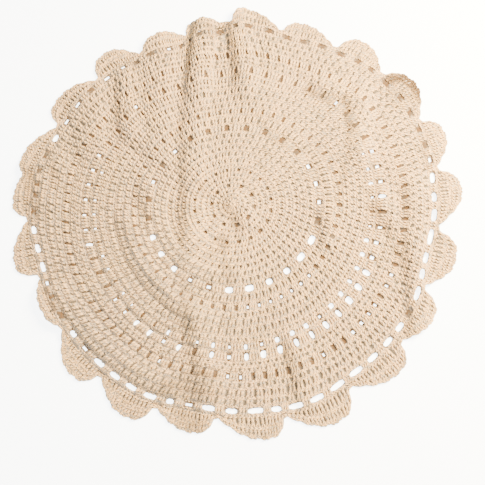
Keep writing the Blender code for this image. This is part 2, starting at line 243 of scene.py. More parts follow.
def off_line(row, x, y):
    """Distance in mm of a plan point from the line of a fold, a crease or painted fold shade."""
    ax, ay, bx, by = row[:4]
    run_x, run_y = bx - ax, by - ay
    share = ((x - ax) * run_x + (y - ay) * run_y) / (run_x ** 2 + run_y ** 2)
    share = np.clip(share, 0.0, 1.0)
    return np.hypot(x - ax - share * run_x, y - ay - share * run_y)


def rise(x, y):
    """Height in mm of the cloth's underside: the sum of the folds' bells, cut by the creases."""
    height = np.zeros_like(x)
    for row in FOLDS:
        height += row[5] * bell(off_line(row, x, y), row[4])
    for row in CREASES:
        height *= 1.0 - row[5] * bell(off_line(row, x, y), row[4])
    return height


print("folds:", len(FOLDS), "creases:", len(CREASES))

# %% [markdown]
# ## Bunched rounds
#
# At the lower left the rounds are pushed together and stand up one behind another like corduroy.
# The height is one wave, half a sine across each round, and higher where the table says that the
# cloth is bunched. The same wave tells the yarn's finish where a valley is, and shade is painted
# there.

# %% Ridges of the bunched rounds
# The rounds' edges in mm. Where the cloth is bunched, each round between them stands up as a
# ridge: a direction, then the ridges' height in mm.
ROUND_EDGES = np.array((
    57.4, 63.3, 69.2, 77.2, 85.2, 92.3, 97.8, 104.5, 111.6, 115.8, 122.6, 132.2, 136.8, 141.0,
    149.4, 154.5, 161.6, 167.5, 174.6,
))
BUNCHED = np.array((
    (0, 0.4), (50, 0.6), (90, 0.5), (130, 1.2), (165, 1.8), (200, 2.3), (230, 2.8), (255, 2.2),
    (285, 0.9), (325, 0.5),
))


def swell(rho):
    """How high a point stands across its round, from 0 at the edges to 1: sin(pi part)."""
    row = np.clip(np.searchsorted(ROUND_EDGES, rho, side="right") - 1, 0, len(ROUND_EDGES) - 2)
    part = (rho - ROUND_EDGES[row]) / (ROUND_EDGES[row + 1] - ROUND_EDGES[row])
    return np.sin(np.pi * np.clip(part, 0.0, 1.0))


def ridge(rho, worked):
    """Height in mm of the bunched rounds: the direction's own height times the swell."""
    return all_round(BUNCHED, 1, worked) * swell(rho)


def valley(rho, worked):
    """Share to which a point lies between two bunched rounds: bunching squared x (1 - swell).

    The bunching is the table's height as a share of its largest.
    """
    bunched = np.minimum(all_round(BUNCHED, 1, worked) / BUNCHED[:, 1].max(), 1.0) ** 2
    among = (rho > ROUND_EDGES[0]) & (rho < ROUND_EDGES[-1])
    return among * bunched * (1.0 - swell(rho))


print("rounds that bunch:", len(ROUND_EDGES) - 1)

# %% [markdown]
# ## Painted fold shade
#
# Along the pleats and creases, and where a shell curls over, the cloth lies in shade and looks
# tan. Light alone gives only part of that on folds this low, so that shade is painted too, along
# lines: a share along them darkens the yarn and shuts the eyelets.

# %% Lines of painted fold shade
# Start x and y, end x and y, spread to both sides in mm and share of painted shade, which may
# pass 1 where the yarn is darkest.
FOLD_SHADE_LINES = np.array((
    (-36, 178, -42, 124, 6, 0.9), (-42, 124, -47, 88, 6, 0.6), (-46, 88, -43, -27, 7, 0.6),
    (-43, -27, -41, -66, 6, 0.35), (-41, -66, -36, -106, 8, 0.6), (-38, -106, -28, -143, 7, 0.6),
    (-4, 174, 4, 121, 6, 0.9), (-107, 122, -101, 75, 6, 0.5), (-100, 69, -72, 41, 5, 0.2),
    (135, 108, 162, 87, 18, 0.4), (139, 113, 151, 113, 9, 2.0), (151, 113, 163, 95, 9, 2.0),
    (-156, -70, -147, -88, 5, 1.3), (-147, -76, -137, -99, 4, 0.8), (163, 58, 165, 30, 5, 0.6),
    (-8, -28, -8, -38, 8, 0.8), (-7, -52, -2, -64, 8, 0.7), (-27, 20, -23, 11, 7, 0.5),
    (-53, -151, -24, -156, 11, 0.9), (20, 35, 27, 47, 6, 0.25), (-39, -145, -14, -158, 10, 0.7),
    (-7, -1, 5, -21, 8, 0.8), (146, 15, 143, -34, 5, 0.3), (143, -36, 141, -107, 6, 0.7),
    (98, 94, 102, 68, 7, 1.1), (102, 68, 92, 12, 6, 0.5), (118, -4, 129, -27, 7, 0.9),
    (129, -27, 140, -56, 6, 0.7), (71, -9, 72, -38, 5, 0.5), (43, -121, 50, -153, 7, 0.7),
    (66, 106, 84, 96, 8, 0.9), (-179, 36, -172, -4, 13, 0.7), (-165, 56, -155, 31, 8, 0.5),
    (28, 68, 44, 55, 5, 0.6), (-85, 16, -72, -7, 6, 0.5), (-99, -13, -82, -56, 8, 0.25),
    (-82, -56, -33, -104, 8, 0.3), (-151, -77, -119, -119, 6, 0.15),
    (-119, -119, -50, -163, 6, 0.15), (-22, 172, -20, 163, 6, 0.9), (111, 134, 112, 130, 5, 0.9),
    (-96, 143, -90, 136, 6, 0.6), (-31, -140, -15, -144, 7, 0.9), (-84, -165, -76, -174, 13, 0.3),
    (-39, -174, -27, -182, 13, 0.7), (-119, -139, -101, -147, 12, 0.2),
))


def fold_shade_share(x, y):
    """Share of painted fold shade at a plan point: the most that any line of it gives."""
    share = np.zeros_like(x)
    for row in FOLD_SHADE_LINES:
        share = np.maximum(share, row[5] * bell(off_line(row, x, y), row[4]))
    return share


print("painted_shade_lines:", len(FOLD_SHADE_LINES))

# %% [markdown]
# ## Laying a point
#
# With these rules a point of the chart has its place. Everything after this is drawn on the flat
# chart, as a crocheter's diagram is, and goes through this one function.

# %% From the chart to the table
def lay(rho, worked, height):
    """Place in metres of charted points, height being mm above the cloth's own underside."""
    x, y = plan_of(rho, worked)
    z = rise(x, y) + ridge(rho, worked) + height
    return np.stack((x + CENTRE[0], y + CENTRE[1], z), axis=-1) * MM


turns = np.arange(0.0, 360.0, 0.5)
edge = lay(np.full(len(turns), RIM_RADIUS), turns, np.zeros(len(turns))) / MM
print("rim across, mm:", np.ptp(edge[:, 0]).round(1), "by", np.ptp(edge[:, 1]).round(1))

# %% [markdown]
# ## Yarn
#
# A strand of yarn is a round tube along a line. Blender could bevel thousands of curves, but one
# numpy grid does the same at once: at every step of every line stands a ring of points, set
# square to the line. The rings keep where they are round the strand and how far along, as a UV
# map, so that the twist of the plies can follow the yarn.

# %% Tubes along many lines at once
# The yarn's thickness in mm.
YARN = 1.5


def tube_rings(points, thick, sides):
    """Ring points round every step of every line: point + radius (across cos a + over sin a).

    points is lines x steps x 3 in metres, and thick the thickness in mm at each step. Across is
    level and square to the line, and over is square to both.
    """
    along = np.gradient(points, axis=1)
    along /= np.linalg.norm(along, axis=2, keepdims=True)
    across = np.cross(along, (0.0, 0.0, 1.0))
    across /= np.linalg.norm(across, axis=2, keepdims=True)
    over = np.cross(across, along)
    turn = 2.0 * np.pi * np.arange(sides) / sides
    cos, sin = np.cos(turn)[:, None], np.sin(turn)[:, None]
    ring = across[:, :, None, :] * cos + over[:, :, None, :] * sin
    radius = 0.5 * MM * thick[:, :, None, None]
    return points[:, :, None, :] + radius * ring


def tube_faces(lines, steps, sides, closed):
    """Corner numbers of the tubes' walls, and of the caps where a tube is open."""
    spot = np.arange(lines * steps * sides).reshape(lines, steps, sides)
    ahead = np.roll(spot, -1, axis=1) if closed else spot[:, 1:]
    here = spot if closed else spot[:, :-1]
    walls = np.stack((here, ahead, np.roll(ahead, -1, 2), np.roll(here, -1, 2)), axis=-1)
    caps = [] if closed else np.concatenate((spot[:, 0], spot[:, -1, ::-1])).tolist()
    return walls.reshape(-1, 4), caps


def strand_map(points, sides, closed):
    """UV corners of the tubes' walls: once round, and the length so far in yarn girths."""
    after = np.roll(points, -1, axis=1) if closed else points[:, 1:]
    before = points if closed else points[:, :-1]
    length = np.cumsum(np.linalg.norm(after - before, axis=2), axis=1) / (np.pi * MM * YARN)
    end = np.broadcast_to(length[:, :, None], length.shape + (sides,))
    start = np.concatenate((np.zeros_like(end[:, :1]), end[:, :-1]), axis=1)
    low_u = np.broadcast_to(np.arange(sides) / sides, end.shape)
    high_u = low_u + 1.0 / sides
    corners = ((low_u, start), (low_u, end), (high_u, end), (high_u, start))
    return np.stack([np.stack(corner, axis=-1) for corner in corners], axis=-2).reshape(-1, 4, 2)


print("yarn, mm thick:", YARN)

# %% [markdown]
# ## Pieces
#
# Thousands of strands as thousands of objects would be slow to draw and to export, so the strands
# of a few rounds are joined into one mesh. Every piece of the doily comes from this one function:
# it rides on the same body and stands for the same solid.

# %% A piece of the doily
def cloth_piece(name, points, faces, map_name, corners, values):
    """A mesh as one piece, with its UV map, the values of its points and smooth shading.

    The corners are the first faces' UV corners, and any face after those stays at 0, 0.
    """
    mesh = bpy.data.meshes.new(name)
    mesh.from_pydata(points.tolist(), [], faces)
    places = np.zeros(2 * len(mesh.loops))
    places[:corners.size] = corners.ravel()
    mesh.uv_layers.new(name=map_name).data.foreach_set("uv", places)
    for label, kept in values.items():
        layer = mesh.attributes.new(label, "FLOAT", "POINT")
        layer.data.foreach_set("value", kept.astype(np.float32))
    mesh.polygons.foreach_set("use_smooth", np.ones(len(mesh.polygons), bool))
    mesh.update()
    piece = bpy.data.objects.new(name, mesh)
    bpy.context.scene.collection.objects.link(piece)
    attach(piece, "root")
    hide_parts(NODE)
    print(name, "triangles:", sum(len(face.vertices) - 2 for face in mesh.polygons))
    return piece


# %% [markdown]
# ## Strands of one piece
#
# Real yarn is never quite even, so each line is nudged a little by chance before it gets its
# thickness. Four values go with each point, because the finish can't work them out: how far it
# stands out from the middle of the fabric, its crest; a chance tone for its strand; its share of
# painted fold shade; and the share of its valley. The crest and the valley say where shade is
# painted.

# %% Gathering strands
# The middle of the fabric in mm above its underside. Then the share by which the thickness varies,
# how far a point is nudged in mm, how much fuller a strand gets for each mm of bunching, and the
# sides of the tubes of posts and of braids.
MIDDLE = 1.1
THICK_VARIES = 0.07
UNEVEN = 0.12
FULLER = 0.2
POST_SIDES = 5
BRAID_SIDES = 4


class Strands:
    """Tubes gathered for one piece, from charted lines of (rho, worked, height) points."""

    def __init__(self):
        self.points, self.walls, self.caps, self.maps, self.count = [], [], [], [], 0
        self.values = {"crest": [], "tone": [], "fold_shade": [], "valley": []}

    def add(self, chart, chance, closed=False):
        """Lays charted lines, lines x steps x 3, a little unevenly, and gives them thickness.

        Closed lines are braids. The crest is a point's distance in mm from MIDDLE, up or down.
        """
        lines, steps = chart.shape[:2]
        sides = BRAID_SIDES if closed else POST_SIDES
        slack = 1.0 + FULLER * all_round(BUNCHED, 1, chart[..., 1])
        thick = YARN * slack * (1.0 + chance.normal(0.0, THICK_VARIES, (lines, steps)))
        off = chance.normal(0.0, UNEVEN, chart.shape)
        rho = chart[..., 0] + off[..., 0]
        height = np.maximum(chart[..., 2] + off[..., 2], 0.5 * thick)
        laid = lay(rho, chart[..., 1] + np.degrees(off[..., 1] / rho), height)
        if closed:
            padded = np.concatenate((laid[:, -1:], laid, laid[:, :1]), axis=1)
            padded_thick = np.concatenate((thick[:, -1:], thick, thick[:, :1]), axis=1)
            rings = tube_rings(padded, padded_thick, sides)[:, 1:-1]
        else:
            rings = tube_rings(laid, thick, sides)
        walls, caps = tube_faces(lines, steps, sides, closed)
        self.points.append(rings.reshape(-1, 3))
        self.walls.append(walls + self.count)
        self.caps += [[corner + self.count for corner in cap] for cap in caps]
        self.maps.append(strand_map(laid, sides, closed))
        above = height[:, :, None] + (rings[..., 2] - laid[:, :, None, 2]) / MM
        self.values["crest"].append(np.abs(above - MIDDLE).ravel())
        self.values["tone"].append(np.repeat(chance.uniform(0.0, 1.0, lines), steps * sides))
        # The share of painted fold shade at each point.
        fold_shade = fold_shade_share(laid[..., 0] / MM - CENTRE[0], laid[..., 1] / MM - CENTRE[1])
        self.values["fold_shade"].append(np.repeat(fold_shade.ravel(), sides))
        self.values["valley"].append(np.repeat(valley(rho, chart[..., 1]).ravel(), sides))
        self.count += lines * steps * sides

    def piece(self, name):
        """The gathered tubes as one piece, with their strand map and their points' values."""
        faces = np.concatenate(self.walls).tolist() + self.caps
        values = {label: np.concatenate(kept) for label, kept in self.values.items()}
        points, corners = np.concatenate(self.points), np.concatenate(self.maps)
        return cloth_piece(name, points, faces, "strand", corners, values)


# %% [markdown]
# ## Posts
#
# A post, or double crochet, is a short upright column. The hook draws the yarn through twice, so
# that two strands wind about each other from the foot to the head. Each strand here is such a
# winding line. It draws in at its foot, where it comes out of the round before, and at its head,
# where the top loops hold it.

# %% One round of posts
# Shares of a post's length, and how far its line lies off POST_MIDDLE at each. Then the strands'
# sway at the waist and more at the ends, sideways and up, the height of the middle, all in mm, and
# the turns that the strands make about each other.
POST_SHARES = np.array((0.0, 0.1, 0.33, 0.58, 0.82, 1.0))
POST_LIFT = np.array((-0.62, 0.18, 0.22, 0.12, -0.08, -0.52))
POST_WIDE = 0.4
POST_SPLAY = 1.3
POST_HIGH = 0.42
POST_MIDDLE = 1.15
POST_TWIST = 1.15
TWIST_VARIES = 0.06


def turned(distance, rho):
    """Degrees that a distance in mm takes up along a circle of radius rho."""
    return np.degrees(distance / rho)


def post_lines(foot, head, inner, outer, chance, splay=POST_SPLAY):
    """The two strands of each post, as charted lines.

    The post's own line runs evenly from foot to head direction and from inner to outer radius. It
    comes up from under the round before at once, tips down along its length and dives under the
    next round, as POST_LIFT says. A strand stands off it sideways by wide cos(winding) and
    upwards by POST_HIGH sin(winding), fading out at foot and head, where the winding goes through
    POST_TWIST turns, and wide is POST_WIDE at the waist and splay more at foot and head.
    """
    share = POST_SHARES
    from_waist = 2.0 * share - 1.0
    half_turn = np.array((0.0, 0.5))[None, :, None]
    start = chance.normal(0.0, TWIST_VARIES, (len(foot), 1, 1)) + half_turn
    winding = 2.0 * np.pi * (start + POST_TWIST * share)
    wide = POST_WIDE + splay * from_waist ** 2
    rho = np.broadcast_to(inner + (outer - inner) * share, winding.shape)
    middle = foot[:, None, None] + (head - foot)[:, None, None] * share
    worked = middle + turned(wide * np.cos(winding), rho)
    height = POST_MIDDLE + POST_LIFT + POST_HIGH * np.sin(winding) * (1.0 - from_waist ** 4)
    return np.stack((rho, worked, height), axis=-1).reshape(-1, len(share), 3)


print("a post's strand has", len(POST_SHARES), "points")

# %% [markdown]
# ## Groups of posts
#
# The posts of a repeat are worked close together, and the chain between two repeats leaves a gap.
# It stands open only where the cloth is spread. Where the cloth is slack the posts slide apart into
# it and the eyelet all but shuts, as over most of the real doily.

# %% Groups, and how open the eyelets stand
# Where the eyelets stand open: a direction, then the share of their width.
OPEN = np.array((
    (0, 0.6), (30, 0.3), (60, 0.22), (90, 0.15), (110, 0.2), (145, 0.3), (180, 0.42),
    (215, 0.5), (250, 0.65), (285, 0.9), (310, 1.0), (335, 0.9),
))
# How much further apart the posts of a group slide where the eyelets are shut, and how far a group
# drifts by chance in mm.
SLIDE = 0.45
GROUP_DRIFT = 0.22


def group_turns(groups, posts, first, spread, rho, chance):
    """Directions of the posts of a round: groups of posts, spread mm apart, between the gaps.

    Where eyelets don't stand open, the posts of a group of three or more slide apart into them. A
    spread of 0 sets all the round's posts evenly.
    """
    pitch = 360.0 / groups
    middle = first + pitch * (np.arange(groups) + 0.5)
    middle = middle + turned(chance.normal(0.0, GROUP_DRIFT, groups), rho)
    slid = 1.0 + SLIDE * (1.0 - all_round(OPEN, 1, middle)) * (posts > 2)
    step = slid * (turned(spread, rho) if spread else pitch / posts)
    apart = np.arange(posts) - 0.5 * (posts - 1)
    return (middle[:, None] + step[:, None] * apart).ravel()


# %% [markdown]
# ## Top loops
#
# Each stitch ends in a loop that lies on its side along the round, and the loops pull through one
# another into a braid. Its two strands part within a stitch and come together at its end, where
# they dive under the next loop. That is two closed lines round the doily, weaving in and out.

# %% One round of top loops
# Points in a loop. Then a strand's swing, its rise, the middle's height and a loop's length, in mm,
# the power that moves the swing's top along the loop, and how far loops drift and tilt, in mm.
LOOP_STEPS = 3
LOOP_WIDE = 0.66
LOOP_HIGH = 0.42
LOOP_MIDDLE = 1.12
LOOP_LONG = 3.0
LOOP_POWER = 1.3
LOOP_DRIFT = 0.12
LOOP_TILT = 0.1


def braid_lines(rho, loops, first, chance, wide=LOOP_WIDE):
    """The two strands of a round's braid, as closed charted lines.

    Through each loop a strand swings out by wide sin(pi part^LOOP_POWER) and rises by LOOP_HIGH of
    the same, part being the share of the loop. The strands swing to opposite sides, and one lies
    LOOP_TILT higher and the other as much lower.
    """
    place = np.arange(loops * LOOP_STEPS) / LOOP_STEPS
    swing = np.sin(np.pi * (place % 1.0) ** LOOP_POWER)
    uneven = np.repeat(chance.normal(0.0, LOOP_DRIFT, loops), LOOP_STEPS)
    side = np.array((1.0, -1.0))[:, None]
    radius = rho + uneven + side * wide * swing
    height = LOOP_MIDDLE - 0.5 * LOOP_HIGH + LOOP_HIGH * swing + LOOP_TILT * side
    worked = np.broadcast_to(first + 360.0 * place / loops, radius.shape)
    return np.stack((radius, worked, height), axis=-1)


print("loops of the last plain round:", round(2.0 * math.pi * SLOT_RADIUS / LOOP_LONG))

# %% [markdown]
# ## The chart
#
# The rounds are counted off the real doily from the centre outwards: close rounds of paired
# posts with a slit between the pairs, rounds with open eyelets, a fan round, and the row of long
# slots under the shells. A row of the table is a round. Its groups of posts stand on a narrow
# foot or a wide one, and what is left of each repeat between two groups is the slit or eyelet.

# %% Rounds
# The piece that a round goes to, its inner and outer radius in mm, its groups, the posts in a
# group, the first gap's direction, the spread of the posts at foot and head in mm, 0 setting them
# evenly, the lean of the heads in mm, and how far the eyelets of the round stand open, 0 being a
# round without eyelets.
ROUNDS = (
    ("centre", 1.6, 6.6, 12, 1, 12.0, 0.0, 0.0, 0.3, 0.0),
    ("centre", 6.8, 10.4, 9, 2, 20.0, 1.3, 0.0, 0.4, 0.0),
    ("centre", 10.6, 15.2, 13, 2, 4.0, 1.4, 0.0, 0.6, 0.0),
    ("centre", 15.5, 21.0, 10, 3, 30.5, 2.0, 2.5, 0.6, 0.1),
    ("centre", 21.3, 25.4, 24, 2, 8.0, 1.5, 0.0, 0.7, 0.0),
    ("centre", 25.7, 30.0, 29, 2, 2.0, 1.5, 0.0, 0.8, 0.0),
    ("centre", 30.3, 35.4, 20, 3, 9.5, 1.9, 2.4, 0.6, 0.1),
    ("centre", 35.7, 38.8, 78, 1, 1.0, 0.0, 0.0, 0.6, 0.0),
    ("centre", 39.1, 45.1, 48, 2, 3.0, 1.4, 0.0, 1.0, 0.0),
    ("centre", 45.4, 51.4, 52, 2, 5.0, 1.5, 0.0, 1.0, 0.0),
    ("centre", 51.7, 57.2, 56, 2, 1.0, 1.4, 0.0, 1.0, 0.0),
    ("centre", 57.5, 63.1, 60, 2, 4.0, 1.4, 0.0, 1.0, 0.0),
    ("centre", 63.4, 69.0, 64, 2, 2.0, 1.45, 0.0, 1.0, 0.0),
    ("mesh", 69.3, 77.0, 27, 4, 1.1, 2.3, 2.7, 0.5, 1.1),
    ("mesh", 77.3, 85.0, 84, 2, 1.5, 1.6, 0.0, 1.2, 0.0),
    ("mesh", 85.3, 92.1, 58, 3, 5.0, 1.8, 2.1, 0.5, 0.32),
    ("mesh", 92.4, 97.6, 98, 2, 1.0, 1.4, 0.0, 1.0, 0.0),
    ("mesh", 97.9, 104.3, 103, 2, 2.6, 1.7, 0.0, 1.1, 0.0),
    ("field", 104.6, 111.4, 108, 2, 1.0, 1.7, 0.0, 1.2, 0.0),
    ("field", 111.7, 115.6, 116, 2, 2.4, 1.8, 0.0, 0.6, 0.0),
    ("field", 115.9, 122.3, 58, 4, 2.0, 2.2, 2.5, 0.3, 0.8),
    ("field", 122.8, 132.0, 58, 4, 2.0, 1.7, 2.8, 0.8, 1.0),
    ("field", 132.3, 136.6, 124, 2, 0.7, 1.9, 0.0, 0.5, 0.0),
    ("filet", 136.9, 140.8, 128, 2, 0.0, 1.9, 0.0, 0.5, 0.0),
    ("filet", 141.1, 149.2, 95, 3, 0.2, 1.8, 2.2, 0.6, 0.4),
    ("filet", 149.5, 154.3, 140, 2, 0.3, 1.9, 0.0, 0.6, 0.0),
    ("filet", 154.6, 161.4, 150, 2, 1.0, 1.8, 0.0, 1.1, 0.0),
    ("slots", 161.7, 167.3, 156, 2, 2.0, 1.8, 0.0, 1.0, 0.0),
    ("slots", 167.6, 173.9, 66, 3, -6.97, 1.8, 2.1, 0.3, 1.25),
)

print("rounds:", len(ROUNDS), "posts:", sum(row[3] * row[4] for row in ROUNDS))

# %% Working the rounds
# How far posts reach under the round before and the next, how far out the braid lies, in mm, and
# the splay of the posts beside eyelets, which stand closer.
FOOT_LAP = 1.3
HEAD_LAP = 0.4
BRAID_OUT = 0.15
EYELET_SPLAY = 0.85
SEED = 22


def work_round(strands, row, chance):
    """Works one row of the chart: its posts, and the braid on its head."""
    _, inner, outer, groups, posts, first, foot_spread, head_spread, lean, opening = row
    feet = group_turns(groups, posts, first, foot_spread, inner, chance)
    heads = group_turns(groups, posts, first, head_spread, outer, chance) - turned(lean, outer)
    splay = EYELET_SPLAY if opening else POST_SPLAY
    strands.add(post_lines(feet, heads, inner - FOOT_LAP, outer + HEAD_LAP, chance, splay), chance)
    rho = outer + BRAID_OUT
    loops = round(2.0 * math.pi * rho / LOOP_LONG)
    braid = braid_lines(rho, loops, first, chance)
    strands.add(braid, chance, closed=True)


chance = np.random.default_rng(SEED)
pieces = []
for part in ("centre", "mesh", "field", "filet", "slots"):
    strands = Strands()
    for row in ROUNDS:
        if row[0] == part:
            work_round(strands, row, chance)
    pieces.append(strands.piece(part + "_rounds"))

# %% [markdown]
# ## The shell edge
#
# Twenty-two shells are worked on the slots. In each, ribs stand side by side from the slot round
# to an arc of loops half-way, and more of them from there to the rim, so that the shell fans out.
# The rim's own braid is worked firmly, which gives the edge its small bumps. Ribs are left out
# where the shell is too shallow for them, in the notches.

# %% Shells
# Ribs for each shell, inside and outside the middle arc, and their drift by chance in degrees.
RIBS_INSIDE = 17
RIBS_OUTSIDE = 21
RIB_DRIFT = 0.08
# Where the two braids lie, as a share of the way from the shells' base to the rim, and their loops.
MID_SHARE = 0.52
MID_LOOPS = 352
RIM_SHARE = 0.93
RIM_LOOPS = 418
RIM_WIDE = 0.7
# How far the ribs reach under the slots' braid and short of the rim, and the depth in mm below
# which a shell has no ribs.
RIB_UNDER = 0.2
RIB_SHORT = 1.2
SHALLOW = 5.0


def shell_depth(worked):
    """Depth in mm of the shell edge in a worked direction, from its base to the rim."""
    base = np.hypot(*plan_of(np.full_like(worked, SHELL_BASE), worked))
    return rim_at(worked)[1] - base


def rib_turns(ribs, chance):
    """Evenly worked directions of the ribs, but for those in the notches."""
    count = SHELLS * ribs
    worked = FIRST_DIP + 360.0 * (np.arange(count) + 0.5) / count
    worked = worked + chance.normal(0.0, RIB_DRIFT, count)
    return worked[shell_depth(worked) > SHALLOW]


def shell_braid(strands, share, loops, wide, chance):
    """A braid along the shells, at a share of the way from their base to the rim."""
    braid = braid_lines(SHELL_BASE + share * SHELL_DEEP, loops, FIRST_DIP, chance, wide)
    strands.add(braid, chance, closed=True)


strands = Strands()
mid_shell = SHELL_BASE + MID_SHARE * SHELL_DEEP
inside = rib_turns(RIBS_INSIDE, chance)
strands.add(post_lines(inside, inside, SHELL_BASE - RIB_UNDER, mid_shell, chance), chance)
outside = rib_turns(RIBS_OUTSIDE, chance)
strands.add(post_lines(outside, outside, mid_shell, RIM_RADIUS - RIB_SHORT, chance), chance)
shell_braid(strands, MID_SHARE, MID_LOOPS, LOOP_WIDE, chance)
shell_braid(strands, RIM_SHARE, RIM_LOOPS, RIM_WIDE, chance)
pieces.append(strands.piece("shell_edge"))

# %% [markdown]
# ## The ground of the cloth
#
# Between the posts one looks down on the yarn behind them: feet of stitches, crossings and the
# backs of loops, all in shade. Modelling those strands would double the mesh for something that
# shows as a tan speck. A thin sheet half-way up the stitches stands for them, coloured with their
# painted shade. The chart's eyelets are cut through it where they stand open, so that the table
# shows where it does in the real doily, and are sunk in it as pits painted dark with shade where
# they don't.

# %% A band of ground
# Its thickness in mm, and its height above the underside: under one round, under the next, and in
# an eyelet's pit.
GROUND_THICK = 0.3
GROUND_LOW = 0.75
GROUND_HIGH = 1.0
GROUND_PIT = 0.35


def ground_band(radii, worked, height, open_cells, groups, first):
    """A ring of quads between radii, with the open cells left out.

    Gives its charted points, its faces, their UV corners and its flat area. A UV corner is its
    direction, counted in repeats from the first gap, and its share of the band's depth. A cell's
    area is half the difference of its radii squared, times its mean turn in radians.
    """
    spot = np.arange(worked.size).reshape(worked.shape)
    beside = np.roll(spot, -1, axis=1)
    quads = np.stack((spot[:-1], spot[1:], beside[1:], beside[:-1]), axis=-1)
    step = (np.roll(worked, -1, axis=1) - worked) % 360.0
    near, far = (worked - first) * groups / 360.0, (worked + step - first) * groups / 360.0
    across = np.stack((near[:-1], near[1:], far[1:], far[:-1]), axis=-1)
    share = (radii - radii[0]) / (radii[-1] - radii[0])
    low, high = share[:-1, None], share[1:, None]
    along = np.stack(np.broadcast_arrays(low, high, high, low, worked[:-1])[:4], axis=-1)
    area = np.radians(0.25 * (radii[1:, None] ** 2 - radii[:-1, None] ** 2) * (step[1:] + step[:-1]))
    chart = np.stack((np.broadcast_to(radii[:, None], worked.shape), worked, height), axis=-1)
    kept = ~open_cells
    corners = np.stack((across, along), axis=-1)[kept]
    return chart.reshape(-1, 3), quads[kept], corners.reshape(-1, 2), area[kept].sum()


print("ground, mm thick:", GROUND_THICK)

# %% Bands with eyelets
# The share open up to which an eyelet is shut, and half shut, the least and the most that chance
# makes of its opening, and the yarn's own width beside it in mm.
SHUT = 0.3
HALF_SHUT = 0.5
AJAR_LEAST = 0.45
AJAR_MOST = 1.35
YARN_SIDE = 0.4
EYELET_RINGS = np.array((-0.07, 0.18, 0.34, 0.66, 0.82, 1.07))
EYELET_WIDE = np.array((1.0, 0.5, 1.0, 1.0, 0.5, 1.0))


def eyelet_band(row, height, chance):
    """The ground under a round with eyelets: each is a sunk eight-sided opening.

    EYELET_RINGS are shares of the round's depth, and EYELET_WIDE the eyelet's width at each, as a
    share of the gap between two groups of posts, times how far the eyelet is open: the round's
    own share, the OPEN share and chance, less the share of painted fold shade. The four rings
    between the first and the last lie in the pit. An eyelet that is half shut is cut through only
    between the middle two, and one that is shut isn't cut through.
    """
    _, inner, outer, groups, posts, first, foot_spread, head_spread, _, opening = row
    radii = inner + (outer - inner) * EYELET_RINGS
    rho, pitch = 0.5 * (inner + outer), 360.0 / groups
    wide = 0.5 * (foot_spread + head_spread) * (posts - 1) + 2.0 * POST_WIDE + YARN_SIDE
    gap = pitch - turned(wide, rho)
    middle = first + pitch * np.arange(groups)
    ajar = all_round(OPEN, 1, middle) * chance.uniform(AJAR_LEAST, AJAR_MOST, groups)
    ajar = opening * ajar
    # An eyelet under painted fold shade is shut as well, and its pit is painted dark.
    ajar = np.minimum(ajar, 1.0) - fold_shade_share(*plan_of(np.full(groups, rho), middle))
    wide = EYELET_WIDE[:, None] * np.ones(groups)
    wide[1:5] *= np.maximum(ajar, SHUT)
    sides = 0.5 * gap * wide[:, :, None] * np.array((-1.0, 1.0))
    between = 0.5 * gap + (pitch - gap) * np.array((1.0, 2.0)) / 3.0
    columns = np.concatenate((sides, np.broadcast_to(between, sides.shape)), axis=2)
    worked = (middle[None, :, None] + columns).reshape(len(radii), -1)
    sunk = np.full((len(radii), groups, 4), height)
    sunk[1:5, :, :2] = GROUND_PIT
    open_cells = np.zeros((len(radii) - 1, groups, 4), bool)
    open_cells[1:4, :, 0] = ajar > HALF_SHUT
    open_cells[2, :, 0] = ajar > SHUT
    open_cells = open_cells.reshape(len(radii) - 1, -1)
    return ground_band(radii, worked, sunk.reshape(worked.shape), open_cells, groups, first)


# %% Plain bands
# How far a band reaches under its neighbours and about how wide its cells are, in mm, and the
# fewest cells round it.
LEDGE = 0.5
CELL = 8.0
FEWEST = 12


def plain_band(inner, outer, rows, columns, height, groups, first):
    """The ground under a round whose slits are too narrow to see the table through."""
    radii = np.linspace(inner, outer, rows + 1)
    turns = FIRST_DIP + 360.0 * np.arange(columns) / columns
    worked = np.broadcast_to(turns, (rows + 1, columns))
    closed = np.zeros((rows, columns), bool)
    return ground_band(radii, worked, np.full(worked.shape, height), closed, groups, first)


# %% Ground sheet
# The part of the shells' depth that the ground fills, and its rows and its cells for each shell.
SHELL_GROUND = 0.92
SHELL_ROWS = 4
SHELL_CELLS = 18

bands = []
for place, row in enumerate(ROUNDS):
    height = GROUND_HIGH if place % 2 else GROUND_LOW
    inner, outer, opening = row[1], row[2], row[-1]
    columns = max(FEWEST, round(2.0 * math.pi * outer / CELL))
    groups, first = row[3], row[5]
    bands.append(eyelet_band(row, height, chance) if opening else
                 plain_band(inner - LEDGE, outer + LEDGE, 2, columns, height, groups, first))
bands.append(plain_band(SHELL_BASE - LEDGE, SHELL_BASE + SHELL_GROUND * SHELL_DEEP, SHELL_ROWS,
                        SHELLS * SHELL_CELLS, GROUND_HIGH, SHELLS * RIBS_INSIDE, FIRST_DIP))
points, faces, corners, flat_area, count = [], [], [], 0.0, 0
for chart, quads, band_corners, area in bands:
    points.append(lay(*chart.T))
    faces.append(quads + count)
    corners.append(band_corners)
    count += len(chart)
    flat_area += area * MM * MM
points = np.concatenate(points)
values = {"fold_shade": fold_shade_share(points[:, 0] / MM - CENTRE[0], points[:, 1] / MM - CENTRE[1]),
          "pit": np.concatenate([band[0][:, 2] < GROUND_LOW for band in bands])}
ground = cloth_piece("ground_cloth", points, np.concatenate(faces).tolist(), "repeat",
                     np.concatenate(corners), values)
solid = ground.modifiers.new("thickness", "SOLIDIFY")
solid.thickness = GROUND_THICK * MM
solid.offset = 0.0

# %% [markdown]
# ## Finishes
#
# Unbleached cotton is a warm cream, pinker or yellower from place to place, and tan where it lies
# deep, because light that gets in there has passed from yarn to yarn. It has no gloss, only a
# faint fuzz. Node graphs are easier to read as sums, so a small class lets Python's own + and *
# add the Math nodes, and one method adds any other node.

